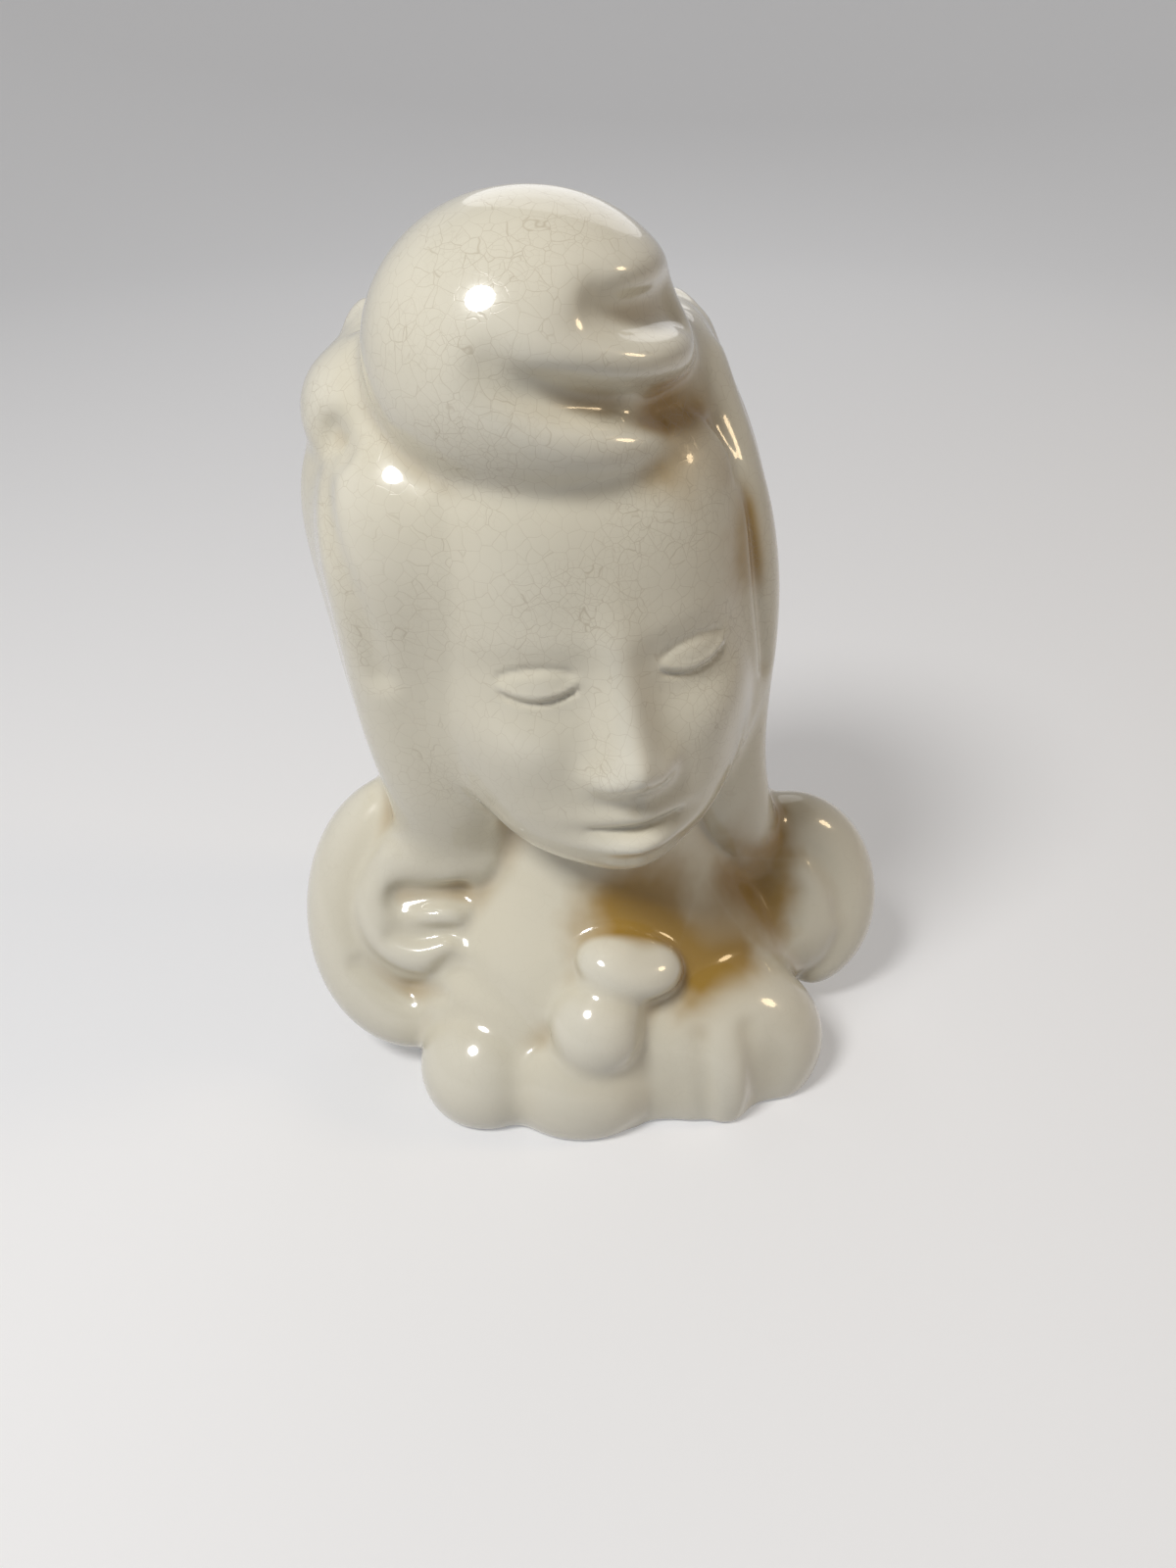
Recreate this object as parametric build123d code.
"""Face vase: a free-standing ceramic flower vase in the form of a head and shoulders.

A hollow core in two halves, closed by a floor, holds the water. The sculpted pieces are luted
onto it with slip: the face, the rolled and waved hair, the shoulder curls and the knotted scarf.
Millimetres, +Z up, the face looks along -Y, origin in the middle of the foot on the table.
"""

import math
import os

from build123d import *

# Hollow core: heights of its sections, with their outside widths and depths
foot_width, foot_depth = 84.0, 68.0
bust_height, bust_width, bust_depth = 14.0, 88.0, 72.0
shoulder_height, shoulder_width, shoulder_depth = 33.0, 68.0, 62.0
neck_height, neck_width, neck_depth = 50.0, 48.0, 50.0
jaw_height, jaw_width, jaw_depth = 72.0, 54.0, 58.0
temple_height, temple_width, temple_depth = 104.0, 64.0, 68.0
crown_height, crown_width, crown_depth = 130.0, 60.0, 64.0
mouth_height, mouth_width, mouth_depth = 146.0, 46.0, 39.0
neck_set_back = 4.0
crown_set_back = 6.0
mouth_set_back = 12.0
mouth_slant = 16.0
wall = 5.0
floor_thickness = 6.0
head_lean = 6.0

# Film of slip between two luted pieces
slip = 0.15

# Reach of the boxes that cut the pieces flat
cut_reach = 4 * mouth_height

# Face: three equal thirds from the chin to the hairline, five eyes wide
face_width = 66.0
face_height = 76.0
face_depth = 37.0
brow_rise = 16.0
chin_height = 51.0
chin_width = 42.0
face_turn = 6.0
face_rim = 0.95
face_side_power, face_chin_power, face_brow_power = 2.6, 8.0, 4.0
face_edge = 0.15
nose_length = 7.5
lid_swell = 3.0
lip_swell = 2.6
cheek_swell = 2.2
face_step, room_step = 2.0, 6.0
surface_fit = 0.03
eye_width = face_width / 5
nose_line = face_height / 3
brow_line = 2 * nose_line
sight_line = brow_line - 0.4 * eye_width
mouth_line = 2 * nose_line / 3

# Swells and hollows of the face: across in eye widths, height over the chin, rise, and the spread
# across and upwards in eye widths; those off the middle come in pairs
FACE_RELIEF = [
    (0.0, sight_line, 0.25 * nose_length, 0.3, 0.8),
    (0.0, nose_line + 0.65 * eye_width, 0.6 * nose_length, 0.36, 0.7),
    (0.0, nose_line + 0.3 * eye_width, 0.6 * nose_length, 0.42, 0.36),
    (0.4, nose_line + 0.18 * eye_width, 0.3 * nose_length, 0.22, 0.22),
    (0.0, mouth_line, lip_swell, 1.0, 0.7),
    (0.0, mouth_line + 0.17 * eye_width, 0.6 * lip_swell, 0.55, 0.15),
    (0.0, mouth_line - 0.22 * eye_width, lip_swell, 0.5, 0.17),
    (0.0, mouth_line, -0.7 * lip_swell, 0.7, 0.1),
    (0.0, mouth_line / 2, -0.5 * lip_swell, 0.65, 0.2),
    (0.0, mouth_line / 3, 2.2 * lip_swell, 0.75, 0.5),
    (0.9, brow_line, 0.4 * lid_swell, 0.7, 0.3),
    (1.0, sight_line, -1.1 * lid_swell, 0.65, 0.5),
    (1.0, sight_line - 0.04 * eye_width, lid_swell, 0.5, 0.28),
    (1.3, nose_line + 0.6 * eye_width, cheek_swell, 0.7, 0.7),
]

# Roll of hair over the brow, with two grooves that swirl in from its right end, and the small
# roll at its left end; places on the rolls are bearings from the front and angles of rise
pompadour_width, pompadour_depth, pompadour_height = 52.0, 52.0, 47.0
pompadour_rise = 12.5
pompadour_shift = -3.8
pompadour_set_in = 16.0
swirl_depth, swirl_spread = 5.2, 9.5
swirl_low_rise, swirl_low_start = -3.0, -34.0
swirl_high_rise, swirl_high_start = 21.0, -8.0
swirl_run = 55.0
swirl_fall = -0.2
swirl_end, swirl_gone = 62.0, 112.0
lobe_swell, lobe_rise, lobe_spread = 3.4, -35.0, 14.0
side_roll_width, side_roll_depth, side_roll_height = 22.0, 30.0, 23.0
side_roll_bearing = -88.0
dimple_depth, dimple_spread = 3.0, 17.0
dimple_bearing, dimple_rise = -28.0, -4.0

# Rings lofted through each modelled ball, and points round each ring
ball_rings, ball_points = 24, 24

# Sheets of hair on the sides and the back: height, thickness, and bearing of the front edge
left_hair = [
    (shoulder_height, 10.0, -74.0),
    (neck_height - 6.0, 15.0, -62.0),
    (neck_height + 4.0, 17.0, -50.0),
    (jaw_height, 16.5, -45.0),
    (jaw_height + 16.0, 15.0, -44.0),
    (temple_height, 13.0, -40.0),
    (crown_height, 7.0, -42.0),
    (crown_height + 9.0, 2.5, -48.0),
]
right_hair = [
    (shoulder_height, 10.0, 76.0),
    (neck_height - 6.0, 12.0, 62.0),
    (neck_height + 4.0, 12.0, 53.0),
    (jaw_height, 9.0, 50.0),
    (temple_height, 7.0, 45.0),
    (crown_height, 4.5, 45.0),
    (mouth_height - 4.0, 3.0, 50.0),
]
back_hair_edge, side_hair_edge = 98.0, 116.0
back_hair = [
    (0.0, 12.0, back_hair_edge),
    (bust_height, 13.0, back_hair_edge),
    (shoulder_height, 14.0, back_hair_edge),
    (neck_height, 14.0, back_hair_edge),
    (jaw_height, 11.0, back_hair_edge),
    (temple_height, 9.0, back_hair_edge),
    (crown_height, 6.5, back_hair_edge),
    (mouth_height, 3.5, back_hair_edge),
]
hair_edge, hair_fullness = 0.15, 0.7
side_lock_count, back_lock_count = 2, 6
lock_swell, lock_points = 1.6, 6

# Shoulder curls: an outer lock that turns under; on the left a ring of hair lies on it, open to the
# neck, with a tongue of hair inside, and on the right a second lock; the bearings run round the
# curl's own plane, which faces out and up
curl_bearing, curl_stand_off = 75.0, 4.0
curl_out, curl_front, curl_up = 0.335, 0.865, 0.35
curl_left_half_width, curl_left_half_height = 13.0, 22.0
curl_right_half_width, curl_right_half_height = 10.5, 15.5
curl_left_set_back, curl_right_set_back = 3.0, 6.0
curl_right_drop = 9.5
curl_lock_radius, curl_lock_start, curl_lock_end = 10.5, 90.0, 290.0
curl_ring_radius, curl_ring_start, curl_ring_end = 9.5, 60.0, 320.0
curl_ring_strand = 5.3
curl_ring_shift, curl_ring_rise = 4.0, 2.0
curl_tongue_length, curl_tongue_width = 15.0, 7.5
curl_tongue_shift, curl_tongue_drop = 1.5, 1.0
curl_inner_share, curl_inner_radius = 0.6, 6.5
curl_inner_shift, curl_inner_lift = 3.5, 4.5
curl_fill = 1.3
curl_stations = 6
curl_start_share, curl_end_share = 0.35, 0.75
curl_seat = 0.7

# Scarf: sizes, and bearings of its pieces round the bust
knot_size, knot_bearing, knot_drop = 19.5, -6.0, 11.0
loop_size, loop_bearing, loop_set_in = 27.0, -39.0, 3.0
tail_width, tail_depth, tail_height = 32.0, 26.0, 28.6
tail_bearing, tail_set_in = -11.0, 4.0
fold_width, fold_height, fold_bearing, fold_tilt = 21.0, 12.0, 4.0, 15.0
wing_width, wing_depth, wing_height = 56.0, 36.0, 42.0
wing_bearing, wing_set_in = 26.0, 7.5
wing_fold_depth, wing_fold_spread = 2.8, 11.0
wing_folds = (-10.0, 32.0)
wing_fold_top, wing_fold_full = 58.0, 5.0
scarf_drop = 7.0

# Height, width, depth and set-back of each section of the core
CORE = [
    (0.0, foot_width, foot_depth, 0.0),
    (bust_height, bust_width, bust_depth, 0.0),
    (shoulder_height, shoulder_width, shoulder_depth, neck_set_back / 2),
    (neck_height, neck_width, neck_depth, neck_set_back),
    (jaw_height, jaw_width, jaw_depth, neck_set_back),
    (temple_height, temple_width, temple_depth, neck_set_back),
    (crown_height, crown_width, crown_depth, crown_set_back),
    (mouth_height, mouth_width, mouth_depth, mouth_set_back),
]


def lean_at(z):
    """Sideways shift of the core's axis: upright to the neck, then leaning to -X."""
    return -max(0.0, z - neck_height) * math.tan(math.radians(head_lean))


def core_at(z):
    """Centre x, centre y, half width and half depth of the core at height z."""
    spans = list(zip(CORE, CORE[1:]))
    (z0, *low), (z1, *high) = next((s for s in spans if z <= s[1][0]), spans[-1])
    t = (z - z0) / (z1 - z0)
    width, depth, back = (a + (b - a) * t for a, b in zip(low, high))
    return lean_at(z), back, width / 2, depth / 2


def on_core(z, bearing, out=0.0):
    """Point at height z, bearing degrees from the front towards +X, that far outside the core."""
    x, y, a, b = core_at(z)
    turn = math.radians(bearing)
    return Vector(x + (a + out) * math.sin(turn), y - (b + out) * math.cos(turn), z)


def mouth_top():
    """Height of the slanted mouth's front edge."""
    return mouth_height + mouth_depth / 2 * math.tan(math.radians(mouth_slant))


def core_loft(inset=0.0):
    """The core as a solid loft through its sections, taken in by the inset, up past its mouth."""
    sections = []
    for z, width, depth, back in CORE:
        outline = Ellipse(width / 2 - inset, depth / 2 - inset)
        sections.append(Pos(lean_at(z), back, z) * outline)
    x, y, half_width, half_depth = core_at(mouth_height)
    collar = Pos(x, y, mouth_height - slip) * Ellipse(half_width - inset, half_depth - inset)
    return loft(sections) + extrude(collar, mouth_top() + wall - mouth_height)


def under_mouth(piece):
    """The piece cut off along the slanted plane of the mouth."""
    x, y, _, _ = core_at(mouth_height)
    keep = Pos(0, 0, -cut_reach / 2) * Box(cut_reach, cut_reach, cut_reach)
    return piece & Pos(x, y, mouth_height) * Rot(-mouth_slant, 0, 0) * keep


def ellipsoid(centre, sizes, tilt=(0, 0, 0), grow=0.0):
    """A ball stretched to three full sizes, tilted about its centre."""
    ball = scale(Sphere(1), by=tuple(size / 2 + grow for size in sizes))
    return Pos(*centre) * Rot(*tilt) * ball


def strand(stations, across, grow=0.0):
    """A tapering strand: round sections square to a smooth path, from (point, radius) stations."""
    path = Spline(*[point for point, _ in stations])
    sections = []
    for point, radius in stations:
        along = path % path.param_at_point(point)
        sections.append(Plane(point, x_dir=across, z_dir=along) * Circle(radius + grow))
    return loft(sections)


def hair_sheet(stations, far_edge, locks, grow):
    """A sheet of hair on the core, ridged into locks, from its front edge to a far bearing."""
    sections = []
    count = lock_points * locks
    for z, thick, near_edge in stations:
        spread = math.copysign(math.degrees(2 * grow / core_at(z)[2]), near_edge - far_edge)
        points = []
        for i in range(count + 1):
            t = i / count
            bearing = far_edge - spread + (near_edge - far_edge + 2 * spread) * t
            swell = hair_edge + (1 - hair_edge) * math.sin(math.pi * t) ** hair_fullness
            ridge = lock_swell * math.cos(2 * math.pi * locks * t) * math.sin(math.pi * t)
            points.append(on_core(z, bearing, thick * swell - ridge + grow))
        outside = Spline(*points)
        sections.append(make_face([outside, Line(outside @ 1, outside @ 0)]))
    return loft(sections)


def fused(*pieces):
    """Several overlapping forms of one clay piece as one solid."""
    whole = pieces[0]
    for piece in pieces[1:]:
        whole = whole + piece
    return whole


def relief_at(across, up):
    """How far the face's features stand out, at a place across it and over the chin."""
    total = 0.0
    for centre, height, rise, wide, tall in FACE_RELIEF:
        for side in (-1, 1) if centre else (0,):
            away = (across / eye_width - side * centre) / wide
            above = (up - height) / (tall * eye_width)
            total += rise * math.exp(-(away**2) - above**2)
    return total


def face_frame():
    """Frame of the head: at chin height on the core's axis, turned to +X and leaning to -X."""
    x, y, _, _ = core_at(chin_height)
    return Location((x, y, chin_height)) * Rot(0, -head_lean, 0) * Rot(0, 0, face_turn)


def face_half_width(up):
    """Half width of the face at a height over the chin: full to the cheeks, narrowing below."""
    cheek = face_height / 2
    drop = max(0.0, (cheek - up) / cheek)
    return face_width / 2 - (face_width - chin_width) / 2 * drop**2


def face_dome(relief, step, grow):
    """A domed oval with swells and hollows on it, as a block from its front back to the axis."""
    middle = (face_height + brow_rise) / 2
    columns, rows = round(face_width / step), round(2 * middle / step)
    grid = []
    for i in range(columns + 1):
        line = []
        for j in range(rows + 1):
            s, t = 2 * i / columns - 1, 2 * j / rows - 1
            up = middle + t * middle
            u = s * (face_half_width(up) + grow)
            edge = abs(s) ** face_side_power + abs(t) ** (face_chin_power if t < 0 else face_brow_power)
            bow = math.sqrt(max(1 - edge, face_edge))
            bow -= max(edge + face_edge - 1, 0.0) / (2 * math.sqrt(face_edge))
            line.append(Vector(u, -face_depth * bow - relief(u, up) - grow, up + t * grow))
        grid.append(line)
    front = Face.make_surface_from_array_of_points(grid, tol=surface_fit)
    block = extrude(front, amount=2 * face_depth, dir=(0, 1, 0))
    oval = Ellipse(face_rim * middle + grow, face_rim * face_width / 2 + grow)
    oval = Plane((0, 0, middle), x_dir=(0, 0, 1), z_dir=(0, -1, 0)) * oval
    return face_frame() * (block & extrude(oval, amount=2 * face_depth))


def face_mask(grow=0.0):
    """The face with its features."""
    return face_dome(relief_at, face_step, grow)


def plain(across, up):
    """No features."""
    return 0.0


def face_room(grow=0.0):
    """The room that the face takes up where other pieces meet its rim."""
    return face_dome(plain, room_step, 2 * grow)


def fade(value, none, full):
    """0 at one value and 1 at the other, smooth between them and level beyond."""
    t = min(max((value - none) / (full - none), 0.0), 1.0)
    return t * t * (3 - 2 * t)


def bell(away, spread):
    """1 on a line or a point, dying out smoothly with the distance from it."""
    return math.exp(-((away / spread) ** 2))


def modelled_ball(centre, sizes, relief, grow):
    """A stretched ball, lofted ring by ring, that rises and falls by relief(bearing, rise)."""
    wide, deep, high = (size / 2 + grow for size in sizes)
    rings = [Vertex(0, 0, -high)]
    for i in range(1, ball_rings):
        rise = 180 * i / ball_rings - 90
        lift = math.radians(rise)
        points = []
        for j in range(ball_points):
            bearing = 360 * j / ball_points - 180
            turn = math.radians(bearing)
            out = relief(bearing, rise)
            x = (wide + out) * math.cos(lift) * math.sin(turn)
            y = -(deep + out) * math.cos(lift) * math.cos(turn)
            points.append((x, y, high * math.sin(lift)))
        rings.append(make_face([Spline(*points, periodic=True)]))
    rings.append(Vertex(0, 0, high))
    return Pos(*centre) * loft(rings)


def swirl(bearing, rise):
    """The roll's two grooves, which deepen towards its right end, and the full lobe under them."""
    end = fade(bearing, swirl_gone, swirl_end)
    out = lobe_swell * end * fade(bearing, swirl_low_start, swirl_end) * bell(rise - lobe_rise, lobe_spread)
    low = fade(bearing, swirl_low_start, swirl_low_start + swirl_run)
    out -= swirl_depth * end * low * bell(rise - swirl_low_rise - swirl_fall * bearing, swirl_spread)
    high = fade(bearing, swirl_high_start, swirl_high_start + swirl_run)
    return out - swirl_depth * end * high * bell(rise - swirl_high_rise, swirl_spread)


def pompadour_roll(grow=0.0):
    """The high roll over the brow, with the grooves that swirl in from its right end."""
    centre = on_core(crown_height, 0, -pompadour_set_in) + Vector(pompadour_shift, 0, pompadour_rise)
    return modelled_ball(centre, (pompadour_width, pompadour_depth, pompadour_height), swirl, grow)


def dimple(bearing, rise):
    """The hollow in the end of the small roll."""
    return -dimple_depth * bell(math.hypot(bearing - dimple_bearing, rise - dimple_rise), dimple_spread)


def side_roll_left(grow=0.0):
    """The small roll behind the pompadour, over the left temple, with a dimple in its end."""
    sizes = (side_roll_width, side_roll_depth, side_roll_height)
    return modelled_ball(on_core(crown_height, side_roll_bearing), sizes, dimple, grow)


def temple_wave_left(grow=0.0):
    """The waves of hair from the left temple down to the shoulder."""
    return hair_sheet(left_hair, -side_hair_edge, side_lock_count, grow)


def crown_wave_right(grow=0.0):
    """The waves of hair from the crown down the right side of the head."""
    return under_mouth(hair_sheet(right_hair, side_hair_edge, side_lock_count, grow))


def back_hair_fall(grow=0.0):
    """The fall of hair behind, ridged into locks, flaring over the shoulders."""
    return under_mouth(hair_sheet(back_hair, 360 - back_hair_edge, back_lock_count, grow))


def turned_lock(plane, half_sizes, shift, span, radius, grow):
    """A strand that turns round in a plane, from one bearing to the other, thinner at its ends."""
    stations = []
    for i in range(curl_stations + 1):
        t = i / curl_stations
        turn = math.radians(span[0] + (span[1] - span[0]) * t)
        local = (
            shift[0] + half_sizes[0] * math.cos(turn),
            shift[1] + half_sizes[1] * math.sin(turn),
            shift[2],
        )
        least = curl_start_share if t < 0.5 else curl_end_share
        share = least + (1 - least) * math.sin(math.pi * t)
        stations.append((plane.from_local_coords(local), share * radius))
    return strand(stations, plane.z_dir, grow)


def curl_plane(side, height, set_back):
    """The plane that a curl turns in, facing out and up from the shoulder."""
    heart = on_core(height, side * curl_bearing, curl_stand_off) + Vector(0, set_back, 0)
    facing = Vector(side * curl_out, -curl_front, curl_up)
    return Plane(heart, x_dir=(-side * curl_front, -curl_out, 0), z_dir=facing)


def curl_mass(plane, half_sizes, grow):
    """The lock that turns under on the shoulder, and the clay that it goes round."""
    span = (curl_lock_start, curl_lock_end)
    lock = turned_lock(plane, half_sizes, (0, 0, 0), span, curl_lock_radius, grow)
    sizes = (curl_fill * half_sizes[0], half_sizes[1], curl_lock_radius)
    fill = plane.location * scale(Sphere(1), by=tuple(size + grow for size in sizes))
    return fused(fill, lock)


def shoulder_curl_left(grow=0.0):
    """The larger and higher curl, on the left shoulder, with a ring and a tongue of hair on it."""
    plane = curl_plane(-1, shoulder_height, curl_left_set_back)
    mass = curl_mass(plane, (curl_left_half_width, curl_left_half_height), grow)
    place = (curl_ring_shift, curl_ring_rise, curl_seat * curl_lock_radius)
    span = (curl_ring_start, curl_ring_end)
    ring = turned_lock(plane, (curl_ring_radius, curl_ring_radius), place, span, curl_ring_strand, grow)
    sizes = (curl_tongue_length, curl_tongue_width, curl_tongue_width)
    tongue = ellipsoid((curl_tongue_shift, -curl_tongue_drop, 0), sizes, grow=grow)
    return fused(mass, ring, plane.location * Pos(*place) * tongue)


def shoulder_curl_right(grow=0.0):
    """The lower curl on the right shoulder, set farther back, with a second lock inside the first."""
    plane = curl_plane(1, shoulder_height - curl_right_drop, curl_right_set_back)
    half_sizes = (curl_right_half_width, curl_right_half_height)
    inner_sizes = tuple(curl_inner_share * size for size in half_sizes)
    span = (curl_lock_start, curl_lock_end)
    place = (curl_inner_shift, 0, curl_inner_lift)
    inner = turned_lock(plane, inner_sizes, place, span, curl_inner_radius, grow)
    return fused(curl_mass(plane, half_sizes, grow), inner)


def scarf_knot(grow=0.0):
    """The knot of the scarf under the chin."""
    place = on_core(shoulder_height - knot_drop, knot_bearing)
    return ellipsoid(place, (knot_size, knot_size, knot_size), grow=grow)


def scarf_upper_fold(grow=0.0):
    """The fold that passes over the knot."""
    sizes = (fold_width, (fold_width + fold_height) / 2, fold_height)
    return ellipsoid(on_core(shoulder_height, fold_bearing), sizes, (0, fold_tilt, 0), grow)


def scarf_loop_left(grow=0.0):
    """The loop of the bow to the left of the knot."""
    place = on_core(bust_height - scarf_drop, loop_bearing, -loop_set_in)
    return ellipsoid(place, (loop_size, loop_size, loop_size), grow=grow)


def scarf_tail_front(grow=0.0):
    """The rounded tail that hangs from the knot to the table."""
    place = on_core(bust_height - scarf_drop, tail_bearing, -tail_set_in)
    return ellipsoid(place, (tail_width, tail_depth, tail_height), (0, 0, tail_bearing), grow)


def wing_folds_at(bearing, rise):
    """Upright folds of the wing, deepest at the table."""
    deep = wing_fold_depth * fade(rise, wing_fold_top, wing_fold_full)
    return -deep * sum(bell(bearing - fold, wing_fold_spread) for fold in wing_folds)


def scarf_wing_right(grow=0.0):
    """The broad wing of the bow on the right, with upright folds."""
    place = on_core(bust_height - scarf_drop, wing_bearing, -wing_set_in)
    return modelled_ball(place, (wing_width, wing_depth, wing_height), wing_folds_at, grow)


def above_table(piece):
    """The piece cut flat on the table."""
    return piece & Pos(0, 0, cut_reach / 2) * Box(cut_reach, cut_reach, cut_reach)


def core_room(grow=0.0):
    """The room that the core takes up, with the clear way above its mouth."""
    x, y, a, b = core_at(mouth_height)
    way = extrude(Ellipse(a + grow, b + grow), cut_reach)
    return core_loft(-grow) + Pos(x, y, mouth_height) * way


# Each luted piece with the pieces that lie under it
SEATS = [
    (pompadour_roll, [core_room]),
    (face_mask, [core_room, pompadour_roll]),
    (back_hair_fall, [core_room]),
    (side_roll_left, [core_room, pompadour_roll, back_hair_fall, face_room]),
    (shoulder_curl_left, [core_room, back_hair_fall, face_room]),
    (shoulder_curl_right, [core_room, back_hair_fall, face_room]),
    (
        temple_wave_left,
        [core_room, pompadour_roll, back_hair_fall, face_room, side_roll_left, shoulder_curl_left],
    ),
    (crown_wave_right, [core_room, pompadour_roll, back_hair_fall, face_room, shoulder_curl_right]),
    (scarf_knot, [core_room, face_room]),
    (scarf_upper_fold, [core_room, face_room, scarf_knot]),
    (scarf_loop_left, [core_room, shoulder_curl_left, scarf_knot]),
    (scarf_tail_front, [core_room, scarf_knot, scarf_loop_left]),
    (
        scarf_wing_right,
        [core_room, scarf_knot, scarf_upper_fold, scarf_tail_front, shoulder_curl_right],
    ),
]

os.makedirs("parts", exist_ok=True)

# The core, hollowed and parted into a front and a back half, and its floor
shell = under_mouth(core_loft() - core_loft(wall))
half = Box(cut_reach, cut_reach, 2 * cut_reach)
front_half = Pos(0, neck_set_back - cut_reach / 2, 0) * half
back_half = Pos(0, neck_set_back + slip + cut_reach / 2, 0) * half
slab = Pos(0, 0, floor_thickness / 2) * Box(cut_reach, cut_reach, floor_thickness)
export_step(shell & front_half, "parts/vessel_front.step")
export_step(shell & back_half, "parts/vessel_back.step")
export_step(core_loft(wall + slip) & slab, "parts/vessel_floor.step")

# The luted pieces, each cut back from the pieces under it by the film of slip
rooms = {}
for maker, under in SEATS:
    piece = above_table(maker())
    for other in under:
        if other not in rooms:
            rooms[other] = other(slip)
        piece = piece - rooms[other]
    solid = piece.solids().sort_by(SortBy.VOLUME)[-1]
    export_step(solid, f"parts/{maker.__name__}.step")
